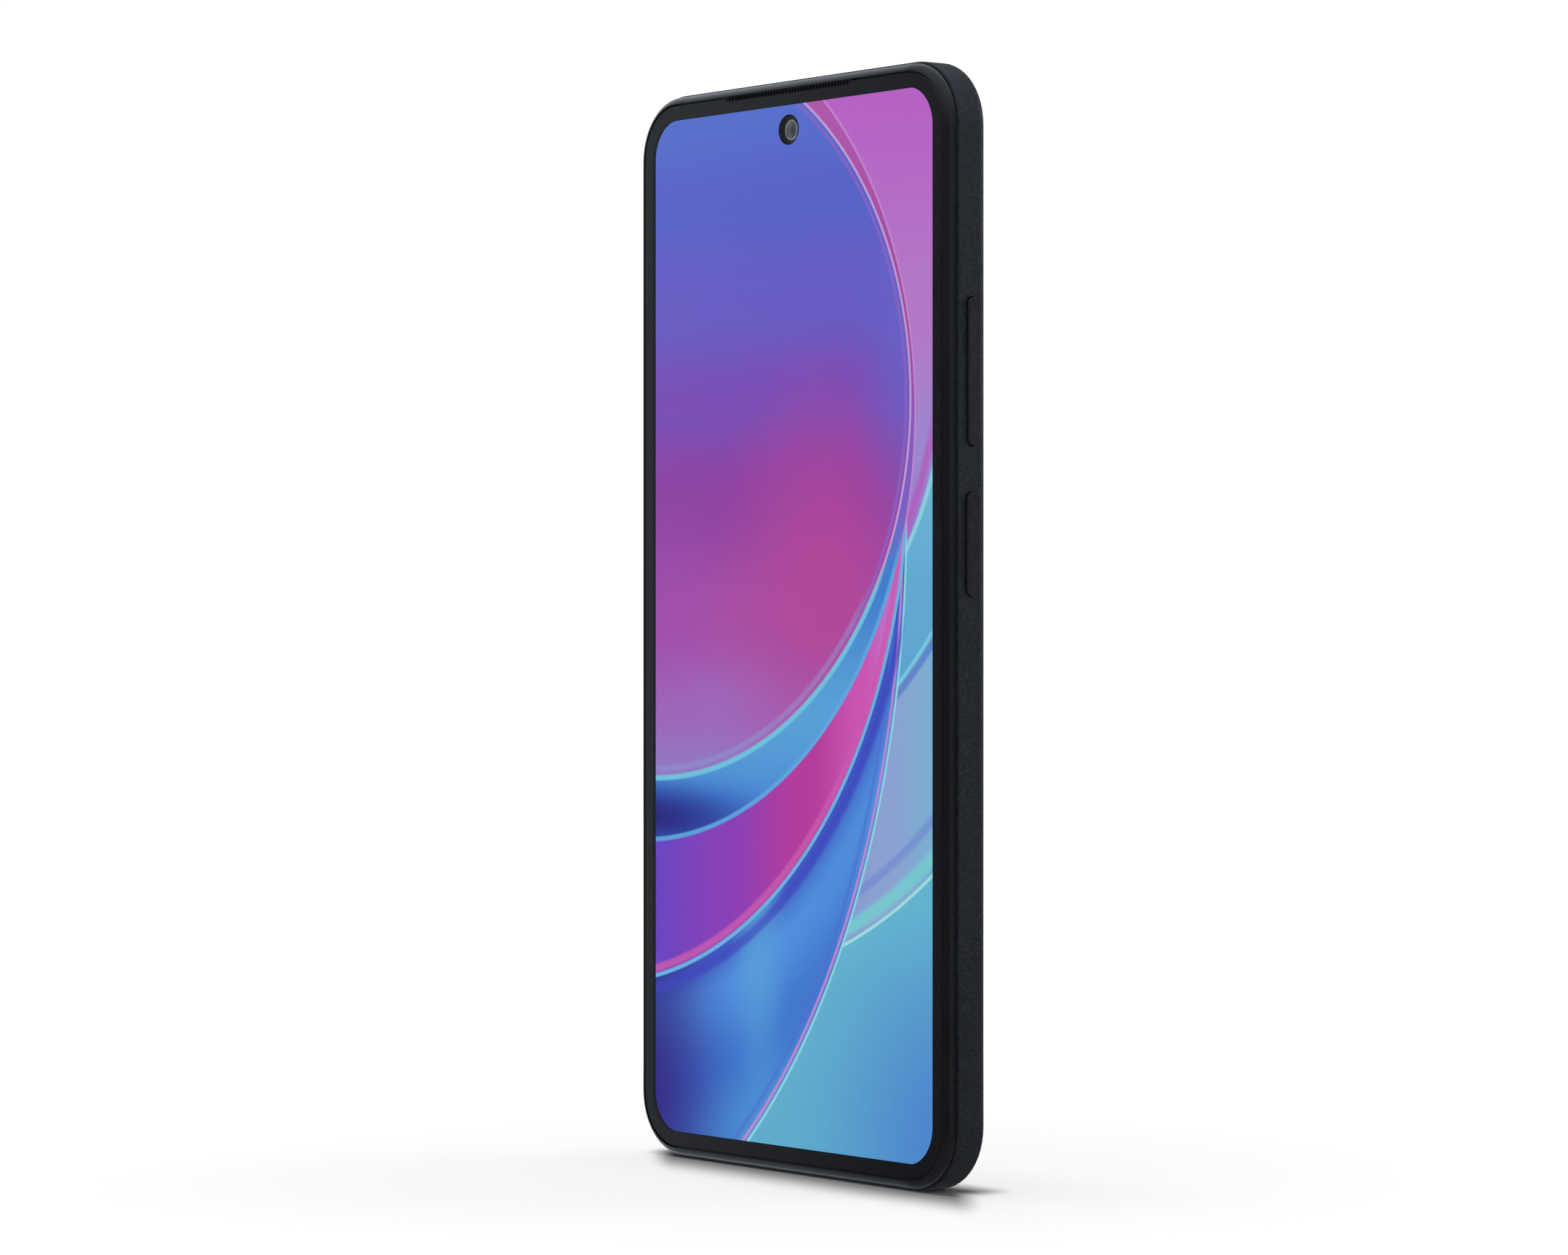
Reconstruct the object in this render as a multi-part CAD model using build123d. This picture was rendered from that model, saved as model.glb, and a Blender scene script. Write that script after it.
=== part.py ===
"""A slim smartphone that stands upright on its bottom edge.

+Z runs up the long axis, the screen faces -Y, the side keys are on +X and the SIM tray on -X.
The origin is on the bottom edge, in the middle of the width and of the thickness.
Depth is measured from the front face towards the back, and inset from the outer side inwards.
"""

import os
from math import cos, radians, sin

from build123d import *

# ---- driving dimensions, mm ----
WIDTH = 77.0
HEIGHT = 162.2
THICKNESS = 7.7
CORNER = 9.6  # outer corner radius seen from the front

# front stack, as depths
RIM_INSET = 0.3  # the glossy rim stands back from the frame's side by this much
RIM_INNER = 1.38
RIM_ROUND_DEPTH = 1.3  # the rim's rounded face runs back to this depth
RIM_BACK = 1.65
LEDGE_INNER = 2.6
LEDGE_FRONT = 0.62
GLASS_INSET = 1.58
GLASS_FRONT = 0.05
GLASS_BACK = 0.5
GLASS_BEVEL = 0.12
SCREEN_WIDTH = 69.5
SCREEN_HEIGHT = 154.5
SCREEN_CORNER = 5.8
SCREEN_BOTTOM = 3.85
PANEL_MARGIN = 0.8
OPTICAL_BACK = 0.54
PANEL_FRONT = 0.55
PANEL_BACK = 1.55
PLATE_FRONT = 1.95
PLATE_BACK = 2.5
PLATE_INSET = 3.2

# frame and rear cover
FRAME_FRONT = 1.75
FRAME_LIP = 0.3
FLAT_END = 5.7  # the frame's flat side ends here and the back rounding begins
BACK_ROUND = 1.4
SEAM_ANGLE = 62.0  # the rounding turns this far before it meets the rear cover
WALL = 2.0
SEAT_INNER = 2.9
SEAT_DEPTH = 6.15
COVER_EDGE = 6.3
COVER_INNER = 7.0
COVER_GAP = 0.06
COVER_ROUND = 6.4

# side keys, all about one line down the right side
KEY_DEPTH = 4.25
KEY_PROUD = 0.5
KEY_GAP = 0.1
VOLUME_Z = 117.35
VOLUME_LENGTH = 21.1
VOLUME_WIDTH = 1.8
VOLUME_FLANGE = (2.3, 2.6)
VOLUME_PIN_INSET = 2.8
VOLUME_DOME_STEP = 6.5
PIN_RADIUS = 0.3
PIN_PLAY = 0.02
POWER_Z = 92.7
POWER_LENGTH = 14.85
POWER_WIDTH = 2.25
POWER_FLANGE = (2.05, 2.45)
SENSOR_THICK = 0.35
PLUNGER_TIP = 2.85
DOME_INSET = (3.2, 3.45)
FLEX_INSET = (3.45, 3.6)
KEY_BRACKET_INSET = (3.6, 3.9)

# SIM tray, in the left side
SIM_Z = 122.0
SIM_DEPTH = 3.9
SIM_DOOR_LENGTH = 17.0
SIM_DOOR_WIDTH = 2.0
SIM_DOOR_DEEP = 1.0
SIM_PLATE_WIDTH = 13.4
SIM_PLATE_THICK = 1.2
SIM_PLATE_END = 26.9
SIM_CARD = (8.8, 12.3, 0.67)
SIM_CARD_INSETS = (9.4, 20.6)
EJECT_Z = 129.9
EJECT_RADIUS = 0.45
EJECT_END = 28.5
LEVER_INSET = 29.2
LEVER_PIVOT_Z = 126.0
LEVER_TIP_Z = 119.5

# openings in the bottom edge
PORT_DEPTH = 3.95
USB_OUTER = (8.94, 3.16)
USB_WALL = 0.3
USB_START = 0.4
USB_END = 7.7
TONGUE = (6.65, 0.7)
JACK_X = -22.0
JACK_DEPTH = 3.9
JACK_RADIUS = 1.75
JACK_START = 2.05
JACK_END = 14.5
FLEX_X = (-12.0, 6.0)
SPEAKER_HOLES_X = [13.5 + 2.0 * i for i in range(6)]
MIC_X = -10.5

# earpiece slot at the top of the glass
EARPIECE_WIDTH = 31.3
EARPIECE_HEIGHT = 0.8
EARPIECE_PITCH = 0.75
EARPIECE_GRILLE = (0.1, 0.48)
DUCT_X = (4.5, 16.5)

# cameras: x, z, ring radius, how far the ring stands proud, window radius, body size
FRONT_CAMERA_X = -0.4
FRONT_CAMERA_Z = 154.7
FRONT_HOLE_RADIUS = 2.22
LENS_RING = (1.05, 1.2)  # depths of the pale ring round the front camera's lens
LENS_RING_RADIUS = 1.52
FRONT_LENS_RADIUS = 1.28
MAIN_CAMERA = dict(x=27.65, z=148.9, ring=7.4, proud=1.65, window=5.6, body=10.0)
SECOND_CAMERA = dict(x=27.65, z=131.0, ring=5.75, proud=1.2, window=4.3, body=8.0)
FLASH = (27.65, 139.1, 1.8)

# boards, battery and fasteners
BOARD_FRONT = 5.0
BOARD_BACK = 5.7
SUB_FRONT = 4.0
SUB_BACK = 4.7
BATTERY = (-34.0, 32.0, 32.0, 112.6)
BATTERY_FRONT = 2.6
BATTERY_BACK = 6.5
BOARD_SCREWS = [(-33.0, 132.6), (-32.3, 153.0), (20.2, 152.5), (21.0, 122.5), (-4.2, 131.5), (-3.9, 149.6)]
SUB_SCREWS = [(-14.5, 11.0), (7.8, 11.0)]
COVER_SCREWS = [(-14.5, 26.5), (7.8, 26.5)]
SPEAKER_SCREWS = [(14.0, 26.6), (32.0, 26.6)]
SCREW_RADIUS = 0.7
SCREW_HEAD_RADIUS = 1.35
SCREW_HEAD = 0.5
BOSS_RADIUS = 1.3

FRONT_Y = -THICKNESS / 2
CENTRE_Z = HEIGHT / 2
SCREEN_Z = SCREEN_BOTTOM + SCREEN_HEIGHT / 2
GLASS_TOP = HEIGHT - RIM_INNER


# ---- shared shapes ----
def facing(depth):
    """The plane at a depth, seen from the front: X to the right, Z up."""
    return Plane(origin=(0, FRONT_Y + depth, 0), x_dir=(1, 0, 0), z_dir=(0, -1, 0))


def prism(outline, front, back):
    """A solid with an outline drawn in X and Z, between two depths."""
    return extrude(facing(back) * outline, back - front)


def block(x0, x1, z0, z1, front, back, radius=0.0):
    """A box between two depths, with its corners rounded as seen from the front."""
    size = (x1 - x0, z1 - z0)
    outline = RectangleRounded(*size, radius) if radius else Rectangle(*size)
    return prism(Pos((x0 + x1) / 2, (z0 + z1) / 2) * outline, front, back)


def disc(x, z, radius, front, back):
    """A cylinder along the thickness."""
    return prism(Pos(x, z) * Circle(radius), front, back)


def sheet(inset, front, back):
    """A plate that follows the body's outline at an inset."""
    outline = RectangleRounded(WIDTH - 2 * inset, HEIGHT - 2 * inset, CORNER - inset)
    return prism(Pos(0, CENTRE_Z) * outline, front, back)


def shell_box(x0, x1, z0, z1, front, back, wall, open_front=False):
    """A thin can. It is open at the back, or at the front."""
    inner_front = front - wall if open_front else front + wall
    inner_back = back - wall if open_front else back + wall
    inner = block(x0 + wall, x1 - wall, z0 + wall, z1 - wall, inner_front, inner_back)
    return block(x0, x1, z0, z1, front, back) - inner


def across(x0, x1, outline):
    """A solid along X, with an outline drawn in depth and Z."""
    plane = Plane(origin=(x0, FRONT_Y, 0), x_dir=(0, 1, 0), z_dir=(1, 0, 0))
    return extrude(plane * outline, x1 - x0)


def side_bar(x0, x1, depth, z, length, width):
    """A bar along X with round ends above and below, as keys and their openings have."""
    return across(x0, x1, Pos(depth, z) * SlotOverall(length, width, rotation=90))


def right(inset0, inset1, depth0, depth1, z0, z1):
    """A box in the right side, between two insets, two depths and two heights."""
    return block(WIDTH / 2 - inset1, WIDTH / 2 - inset0, z0, z1, depth0, depth1)


def left(inset0, inset1, depth0, depth1, z0, z1):
    """The same in the left side."""
    return block(-WIDTH / 2 + inset0, -WIDTH / 2 + inset1, z0, z1, depth0, depth1)


def upward(z0, z1, outline):
    """A solid along Z, with an outline drawn in X and depth."""
    return extrude(Plane(origin=(0, FRONT_Y, z0)) * outline, z1 - z0)


def ring(section):
    """A band of one section, drawn in inset and depth, round the whole outline."""
    half_width = WIDTH / 2 - CORNER
    half_height = HEIGHT / 2 - CORNER
    side = Plane(origin=(WIDTH / 2, FRONT_Y, CENTRE_Z - half_height), x_dir=(-1, 0, 0), z_dir=(0, 0, -1))
    top = Plane(origin=(half_width, FRONT_Y, HEIGHT), x_dir=(0, 0, -1), z_dir=(1, 0, 0))
    turn = Axis((half_width, 0, CENTRE_Z + half_height), (0, -1, 0))
    corner = revolve(Pos(0, 0, 2 * half_height) * (side * section), turn, 90)
    other_turn = Axis((-half_width, 0, CENTRE_Z + half_height), (0, -1, 0))
    other_corner = revolve(Pos(-2 * half_width, 0, 0) * (top * section), other_turn, 90)
    upright = extrude(side * section, 2 * half_height, dir=(0, 0, 1))
    level = extrude(top * section, 2 * half_width, dir=(-1, 0, 0))
    half = upright + corner + level + other_corner
    return half + half.rotate(Axis((0, 0, CENTRE_Z), (0, 1, 0)), 180)


def screws(places, seat, tip):
    """Pan-head screws with a cross recess, their heads standing behind a seat depth."""
    group = Part()
    for x, z in places:
        head = disc(x, z, SCREW_HEAD_RADIUS, seat, seat + SCREW_HEAD)
        recess = block(x - 0.7, x + 0.7, z - 0.14, z + 0.14, seat + 0.2, seat + SCREW_HEAD)
        recess += block(x - 0.14, x + 0.14, z - 0.7, z + 0.7, seat + 0.2, seat + SCREW_HEAD)
        group += head + disc(x, z, SCREW_RADIUS, tip, seat) - recess
    return group


def holes(places, radius, front, back):
    """Round holes along the thickness."""
    return Part() + [disc(x, z, radius, front, back) for x, z in places]


# ---- front: glass, screen and rim ----
def cover_glass():
    """Flat glass with a bevelled front edge and a notch for the earpiece."""
    glass = sheet(GLASS_INSET, GLASS_FRONT, GLASS_BACK)
    glass = chamfer(glass.faces().sort_by(Axis.Y)[0].edges(), GLASS_BEVEL)
    return glass - earpiece_slot(GLASS_FRONT - 1, GLASS_BACK + 1)


def earpiece_slot(front, back, shrink=0.0):
    """The slot along the top of the glass, with round lower corners."""
    half = EARPIECE_WIDTH / 2 - shrink
    low = GLASS_TOP - EARPIECE_HEIGHT + shrink
    body = block(-half, half, low, GLASS_TOP - 0.04, front, back)
    corners = body.edges().filter_by(Axis.Y).group_by(Axis.Z)[0]
    return fillet(corners, 0.35)


def screen_sheet(margin, front, back):
    """A sheet over the lit area plus a margin, with a hole for the front camera."""
    size = (SCREEN_WIDTH + 2 * margin, SCREEN_HEIGHT + 2 * margin)
    outline = Pos(0, SCREEN_Z) * RectangleRounded(*size, SCREEN_CORNER + margin)
    hole = disc(FRONT_CAMERA_X, FRONT_CAMERA_Z, FRONT_HOLE_RADIUS, front - 1, back + 1)
    return prism(outline, front, back) - hole


def earpiece_grille():
    """A perforated strip let into the slot, just below the face of the glass."""
    strip = earpiece_slot(*EARPIECE_GRILLE, shrink=0.04)
    hole = SlotOverall(0.62, 0.5, rotation=90)
    count = int((EARPIECE_WIDTH - 0.8) / EARPIECE_PITCH)
    row = Sketch() + [place * hole for place in GridLocations(EARPIECE_PITCH, 1, count, 1)]
    return strip - prism(Pos(0, GLASS_TOP - EARPIECE_HEIGHT / 2 - 0.02) * row, 0, 1)


def front_rim():
    """The glossy ring round the glass, with an inner ledge that the glass is bonded to."""
    across_face = RIM_INNER - RIM_INSET
    radius = (across_face**2 + RIM_ROUND_DEPTH**2) / (2 * across_face)
    outer = RadiusArc((RIM_INNER, 0), (RIM_INSET, RIM_ROUND_DEPTH), radius)
    inner = Polyline(
        (RIM_INSET, RIM_ROUND_DEPTH),
        (RIM_INSET, RIM_BACK),
        (LEDGE_INNER, RIM_BACK),
        (LEDGE_INNER, LEDGE_FRONT),
        (RIM_INNER, LEDGE_FRONT),
        (RIM_INNER, 0),
    )
    return ring(make_face(outer + inner)) - duct()


def duct():
    """The sound way from the earpiece to the slot."""
    return block(*DUCT_X, HEIGHT - 5.2, GLASS_TOP - 0.3, LEDGE_FRONT - 0.1, PLATE_BACK + 0.1)


# ---- frame and cover ----
def frame_section():
    """The side wall: a small front lip, a flat side, a round back edge and a seat for the cover."""
    seam = (
        BACK_ROUND * (1 - cos(radians(SEAM_ANGLE))),
        FLAT_END + BACK_ROUND * sin(radians(SEAM_ANGLE)),
    )
    half = radians(SEAM_ANGLE / 2)
    middle = (BACK_ROUND * (1 - cos(half)), FLAT_END + BACK_ROUND * sin(half))
    outline = RadiusArc((FRAME_LIP, FRAME_FRONT), (0, FRAME_FRONT + FRAME_LIP), FRAME_LIP)
    outline += Line((0, FRAME_FRONT + FRAME_LIP), (0, FLAT_END))
    outline += ThreePointArc((0, FLAT_END), middle, seam)
    outline += Polyline(
        seam,
        (seam[0], SEAT_DEPTH),
        (SEAT_INNER, SEAT_DEPTH),
        (SEAT_INNER, SEAT_DEPTH - 0.3),
        (WALL, SEAT_DEPTH - 0.55),
        (WALL, PLATE_BACK),
        (PLATE_INSET, PLATE_BACK),
        (PLATE_INSET, FRAME_FRONT),
        (FRAME_LIP, FRAME_FRONT),
    )
    return make_face(outline)


def frame_openings():
    """Everything that is cut through the frame's wall."""
    out = WIDTH / 2 + 1
    wall_in = WIDTH / 2 - WALL - 0.5
    volume_gap = 2 * KEY_GAP + 0.1
    cuts = side_bar(wall_in, out, KEY_DEPTH, VOLUME_Z, VOLUME_LENGTH + volume_gap, VOLUME_WIDTH + 2 * KEY_GAP)
    power = (POWER_LENGTH + 2 * KEY_GAP, POWER_WIDTH + 2 * KEY_GAP)
    cuts += side_bar(wall_in, out, KEY_DEPTH, POWER_Z, *power)
    door = (SIM_DOOR_LENGTH + 0.12, SIM_DOOR_WIDTH + 0.12)
    cuts += side_bar(-out, -wall_in, SIM_DEPTH, SIM_Z, *door)
    usb = SlotOverall(USB_OUTER[0] + 0.1, USB_OUTER[1] + 0.1)
    cuts += upward(-1, WALL + 2, Pos(0, PORT_DEPTH) * usb)
    cuts += upward(-1, WALL + 1, Pos(JACK_X, JACK_DEPTH) * Circle(JACK_RADIUS + 0.1))
    cuts += block(JACK_X - 3.05, JACK_X + 3.05, WALL, WALL + 2, 1.85, SEAT_DEPTH)
    cuts += upward(-1, WALL + 1, Pos(MIC_X, PORT_DEPTH) * Circle(0.5))
    for x in SPEAKER_HOLES_X:
        cuts += upward(-1, WALL + 1, Pos(x, PORT_DEPTH) * Circle(0.6))
    cuts += upward(HEIGHT - WALL - 1, HEIGHT + 1, Pos(-14, PORT_DEPTH) * Circle(0.5))
    return cuts


def mid_frame():
    """The moulded outer band of the body."""
    return ring(frame_section()) - frame_openings() - duct()


def mid_plate():
    """The stiff inner plate, with threaded bosses for the screws."""
    plate = sheet(PLATE_INSET, PLATE_FRONT, PLATE_BACK)
    bosses = holes(BOARD_SCREWS + SPEAKER_SCREWS, BOSS_RADIUS, PLATE_BACK, BOARD_FRONT)
    bosses += holes(SUB_SCREWS + COVER_SCREWS, BOSS_RADIUS, PLATE_BACK, SUB_FRONT)
    cut = disc(FRONT_CAMERA_X, FRONT_CAMERA_Z, 2.45, 1, 3)
    cut += block(JACK_X - 3.2, JACK_X + 3.2, 2, JACK_END + 0.2, 1, 3)
    cut += block(-USB_OUTER[0] / 2 - 0.1, USB_OUTER[0] / 2 + 0.1, 2, USB_END + 0.1, 1, 3)
    cut += block(FLEX_X[0] - 0.2, FLEX_X[1] + 0.2, 9.0, 9.5, 1, 3)
    threads = BOARD_SCREWS + SPEAKER_SCREWS + SUB_SCREWS + COVER_SCREWS
    return plate + bosses - cut - duct() - holes(threads, SCREW_RADIUS, PLATE_BACK, BOARD_FRONT)


def cover_section():
    """The rear cover's curved edge, thin at the seam and blending into the flat back."""
    start = BACK_ROUND * (1 - cos(radians(SEAM_ANGLE))) + COVER_GAP
    turn = radians(90 - SEAM_ANGLE)
    run = COVER_ROUND * sin(turn)
    middle = (
        start + run - COVER_ROUND * sin(turn / 2),
        THICKNESS - COVER_ROUND * (1 - cos(turn / 2)),
    )
    edge_depth = THICKNESS - COVER_ROUND * (1 - cos(turn))
    outline = ThreePointArc((start, edge_depth), middle, (start + run, THICKNESS))
    outline += Polyline(
        (start + run, THICKNESS),
        (start + run, COVER_INNER),
        (SEAT_INNER + 0.5, COVER_INNER),
        (SEAT_INNER - 0.1, COVER_EDGE),
        (start, COVER_EDGE),
        (start, edge_depth),
    )
    return make_face(outline)


def rear_cover():
    """The back panel, with openings for both cameras and the flash."""
    start = BACK_ROUND * (1 - cos(radians(SEAM_ANGLE))) + COVER_GAP
    run = COVER_ROUND * sin(radians(90 - SEAM_ANGLE))
    cover = ring(cover_section()) + sheet(start + run, COVER_INNER, THICKNESS)
    for camera in (MAIN_CAMERA, SECOND_CAMERA):
        cover -= disc(camera["x"], camera["z"], camera["ring"] - 0.8, 6, 8)
    return cover - disc(*FLASH, 6, 8)


def cover_adhesive():
    """A thin foam tape between the frame's seat and the cover."""
    return sheet(1.2, SEAT_DEPTH, COVER_EDGE) - sheet(SEAT_INNER - 0.2, SEAT_DEPTH, COVER_EDGE)


def glass_adhesive():
    """The bonding line between the glass edge and the rim's ledge."""
    return sheet(1.75, GLASS_BACK, LEDGE_FRONT) - sheet(LEDGE_INNER - 0.05, GLASS_BACK, LEDGE_FRONT) - duct()


# ---- rear cameras ----
def camera_ring(camera):
    """A metal ring with a bevelled face, a window seat and a neck through the rear cover."""
    x, z = camera["x"], camera["z"]
    top = THICKNESS + camera["proud"]
    body = disc(x, z, camera["ring"], THICKNESS, top)
    body = chamfer(body.faces().sort_by(Axis.Y)[-1].edges(), 0.3)
    body += disc(x, z, camera["ring"] - 0.85, COVER_INNER, THICKNESS)
    window_seat = disc(x, z, camera["window"], top - 0.6, top)
    return body - window_seat - disc(x, z, camera["window"] - 0.7, 6, top)


def camera_window(camera):
    """The clear disc over the lens."""
    top = THICKNESS + camera["proud"]
    return disc(camera["x"], camera["z"], camera["window"] - 0.03, top - 0.6, top - 0.08)


def camera_module(camera, front):
    """A square camera body with its lens barrel behind the window."""
    x, z, half = camera["x"], camera["z"], camera["body"] / 2
    body = block(x - half, x + half, z - half, z + half, front, 6.3, 0.6)
    barrel = disc(x, z, camera["window"] - 1.4, 6.3, THICKNESS + camera["proud"] - 0.8)
    opening = disc(x, z, camera["window"] - 2.3, THICKNESS + camera["proud"] - 1.3, 10)
    return body + barrel - opening


def front_camera():
    """The front camera: a small body, a flange and a barrel that reaches up to the glass."""
    x, z = FRONT_CAMERA_X, FRONT_CAMERA_Z
    body = block(x - 3.2, x + 3.2, z - 2.7, z + 2.9, PLATE_BACK + 0.02, 4.9, 0.5)
    barrel = disc(x, z, 2.1, LENS_RING[1], PLATE_BACK + 0.02)
    return body + barrel - disc(x, z, FRONT_LENS_RADIUS - 0.1, 0.5, LENS_RING[1] + 0.45)


def front_camera_ring():
    """A pale trim ring on the front camera's barrel."""
    x, z = FRONT_CAMERA_X, FRONT_CAMERA_Z
    return disc(x, z, LENS_RING_RADIUS, *LENS_RING) - disc(x, z, FRONT_LENS_RADIUS, *LENS_RING)


# ---- side keys ----
def volume_key():
    """One long rocker, with a flange inside the wall and a lug for its pivot pin."""
    x = WIDTH / 2
    cap = side_bar(x - VOLUME_FLANGE[1], x + KEY_PROUD, KEY_DEPTH, VOLUME_Z, VOLUME_LENGTH, VOLUME_WIDTH)
    cap = chamfer(cap.faces().sort_by(Axis.X)[-1].edges(), 0.16)
    half = VOLUME_LENGTH / 2 + 1.0
    narrow = (KEY_DEPTH - 0.8, KEY_DEPTH + 0.8)
    cap -= right(VOLUME_FLANGE[0], 3, 2, narrow[0], VOLUME_Z - half, VOLUME_Z + half)
    cap -= right(VOLUME_FLANGE[0], 3, narrow[1], 6, VOLUME_Z - half, VOLUME_Z + half)
    cap += right(*VOLUME_FLANGE, *narrow, VOLUME_Z - half, VOLUME_Z + half)
    for step in (-VOLUME_DOME_STEP, VOLUME_DOME_STEP):
        z = VOLUME_Z + step
        cap += right(VOLUME_FLANGE[1], PLUNGER_TIP, KEY_DEPTH - 0.5, KEY_DEPTH + 0.5, z - 0.6, z + 0.6)
    pin_x = x - VOLUME_PIN_INSET
    cap += disc(pin_x, VOLUME_Z, 0.6, KEY_DEPTH - 0.6, KEY_DEPTH + 0.6)
    return cap - disc(pin_x, VOLUME_Z, PIN_RADIUS + PIN_PLAY, 2, 6)


def volume_key_pin():
    """The pin that the rocker turns on, held in the bracket's ears."""
    return disc(WIDTH / 2 - VOLUME_PIN_INSET, VOLUME_Z, PIN_RADIUS, KEY_DEPTH - 1.35, KEY_DEPTH + 1.35)


def power_cap():
    """The power key's whole cap, with a chamfered face."""
    x = WIDTH / 2
    cap = side_bar(x - POWER_FLANGE[0], x + KEY_PROUD, KEY_DEPTH, POWER_Z, POWER_LENGTH, POWER_WIDTH)
    return chamfer(cap.faces().sort_by(Axis.X)[-1].edges(), 0.14)


def sensor_side():
    """Everything outside the joint between the power key and its touch sensor."""
    reach = POWER_LENGTH / 2 + 1.0
    return right(-KEY_PROUD - 1, SENSOR_THICK - KEY_PROUD, 0, THICKNESS, POWER_Z - reach, POWER_Z + reach)


def power_key():
    """The key under its touch sensor, with a flange and a plunger."""
    half = POWER_LENGTH / 2 + 1.0
    key = power_cap() - sensor_side()
    key += right(*POWER_FLANGE, KEY_DEPTH - 1.25, KEY_DEPTH + 1.25, POWER_Z - half, POWER_Z + half)
    plunger = (KEY_DEPTH - 0.6, KEY_DEPTH + 0.6, POWER_Z - 0.8, POWER_Z + 0.8)
    return key + right(POWER_FLANGE[1], PLUNGER_TIP, *plunger)


def fingerprint_sensor():
    """The touch sensor, which is bonded on as the whole face of the power key."""
    return power_cap() & sensor_side()


def key_domes():
    """Three snap domes: volume up, volume down and power."""
    x = WIDTH / 2
    group = Part()
    for z in (VOLUME_Z - VOLUME_DOME_STEP, VOLUME_Z + VOLUME_DOME_STEP, POWER_Z):
        group += across(x - DOME_INSET[1], x - DOME_INSET[0], Pos(KEY_DEPTH, z) * Circle(0.95))
    return group


def side_key_flex():
    """The printed strip that the domes sit on."""
    strip = right(*FLEX_INSET, KEY_DEPTH - 1.0, KEY_DEPTH + 1.0, 83.0, 128.6)
    slot = right(3, 4, 0, KEY_DEPTH - 0.7, VOLUME_Z - 1.2, VOLUME_Z + 1.2)
    slot += right(3, 4, KEY_DEPTH + 0.7, 8, VOLUME_Z - 1.2, VOLUME_Z + 1.2)
    return strip - slot


def key_bracket():
    """A steel strip behind the keys, with two ears that hold the rocker's pin."""
    bracket = right(*KEY_BRACKET_INSET, PLATE_BACK, KEY_DEPTH + 1.5, 82.0, 129.4)
    for depth in (KEY_DEPTH - 1.35, KEY_DEPTH + 0.9):
        bracket += right(2.4, KEY_BRACKET_INSET[0], depth, depth + 0.45, VOLUME_Z - 0.8, VOLUME_Z + 0.8)
    return bracket - volume_key_pin()


# ---- SIM tray and its ejector ----
def sim_tray():
    """The door with its pin hole, and the plate with two card pockets."""
    x = -WIDTH / 2
    tray = side_bar(x, x + SIM_DOOR_DEEP, SIM_DEPTH, SIM_Z, SIM_DOOR_LENGTH, SIM_DOOR_WIDTH)
    half = SIM_PLATE_WIDTH / 2
    plate = (SIM_DEPTH - SIM_PLATE_THICK / 2, SIM_DEPTH + SIM_PLATE_THICK / 2)
    tray += left(SIM_DOOR_DEEP, SIM_PLATE_END, *plate, SIM_Z - half, SIM_Z + half)
    for inset in SIM_CARD_INSETS:
        tray -= card(inset, 0.05, plate[1] + 1)
        window = (SIM_CARD[0] / 2 - 1.2, SIM_CARD[1] / 2 - 1.2)
        tray -= left(inset - window[0], inset + window[0], 3, 5, SIM_Z - window[1], SIM_Z + window[1])
    return tray - across(x - 1, x + 2, Pos(SIM_DEPTH, EJECT_Z) * Circle(0.5))


def card(inset, play, back):
    """A card's outline in the tray, from the pocket's floor up to a depth."""
    half = (SIM_CARD[0] / 2 + play, SIM_CARD[1] / 2 + play)
    floor = SIM_DEPTH - 0.1
    return left(inset - half[0], inset + half[0], floor, back, SIM_Z - half[1], SIM_Z + half[1])


def sim_cards():
    """Two cards lying in the pockets."""
    return Part() + [card(inset, -0.02, SIM_DEPTH - 0.1 + SIM_CARD[2]) for inset in SIM_CARD_INSETS]


def sim_tray_seal():
    """The rubber ring round the tray's neck, just inside the door."""
    x = -WIDTH / 2 + SIM_DOOR_DEEP
    seal = side_bar(x, x + 0.6, SIM_DEPTH, SIM_Z, 15.2, SIM_DOOR_WIDTH - 0.1)
    half = (SIM_PLATE_THICK / 2, SIM_PLATE_WIDTH / 2)
    neck = left(0, 3, SIM_DEPTH - half[0], SIM_DEPTH + half[0], SIM_Z - half[1], SIM_Z + half[1])
    return seal - neck


def sim_reader():
    """A metal tunnel that the tray slides into, open towards the side, with two guides for the rod."""
    half = SIM_PLATE_WIDTH / 2
    cage = left(3.3, 27.9, 2.95, BOARD_FRONT, SIM_Z - half - 0.5, SIM_Z + half + 0.5)
    for inset in (5.0, 24.0):
        cage += left(inset, inset + 1.2, 3.2, BOARD_FRONT, SIM_Z + half + 0.4, EJECT_Z + 1.0)
    cage -= left(3, 27.5, 3.15, 4.8, SIM_Z - half - 0.25, SIM_Z + half + 0.25)
    cage -= left(27, 28, 3.4, 4.4, LEVER_TIP_Z - 0.7, LEVER_PIVOT_Z - 2.2)
    return cage - across(-WIDTH / 2, 0, Pos(SIM_DEPTH, EJECT_Z) * Circle(EJECT_RADIUS + 0.05))


def eject_rod():
    """The thin rod between the pin hole and the lever."""
    x = -WIDTH / 2
    return across(x + WALL + 0.2, x + EJECT_END, Pos(SIM_DEPTH, EJECT_Z) * Circle(EJECT_RADIUS))


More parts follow.
